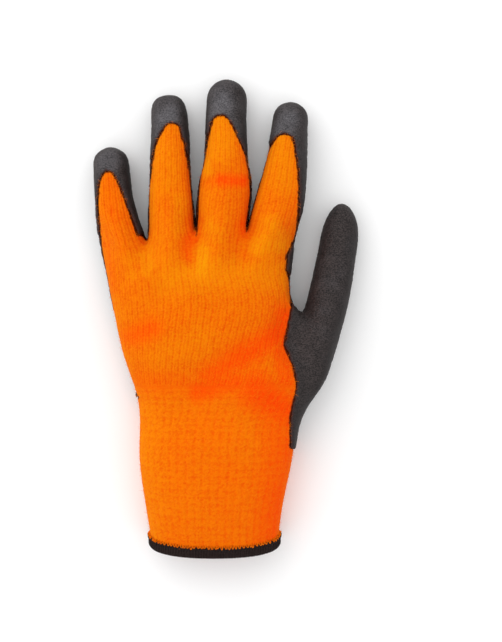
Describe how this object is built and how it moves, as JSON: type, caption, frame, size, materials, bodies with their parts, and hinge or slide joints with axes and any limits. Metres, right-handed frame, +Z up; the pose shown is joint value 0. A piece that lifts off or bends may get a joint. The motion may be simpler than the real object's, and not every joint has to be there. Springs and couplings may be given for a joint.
{
  "type": "thermal work glove",
  "caption": "Left-hand thermal work glove: thick seamless knit with an elastic wrist cuff, latex-dipped palm, thumb and fingertips, and an overlocked hem.",
  "frame": {"origin": "under the middle of the glove's bounding box, on the surface that the palm lies on", "axes": "+Y from the cuff to the fingertips, +X to the thumb side, +Z up out of the back of the hand"},
  "size_m": [0.1452, 0.2592, 0.043],
  "materials": {
    "orange_knit": "brushed bright orange acrylic, heavy gauge plain knit with wales along the hand",
    "orange_rib": "bright orange elastic rib knit",
    "dark_latex": "charcoal dipped latex, soft sheen over the knit on the tips, crinkled on the palm",
    "dark_thread": "near-black overlock thread"
  },
  "bodies": {
    "root": {"knit_hand": "orange_knit", "knit_cuff": "orange_rib", "latex_coating": "dark_latex", "hem_binding": "dark_thread"}
  },
  "joints": []
}
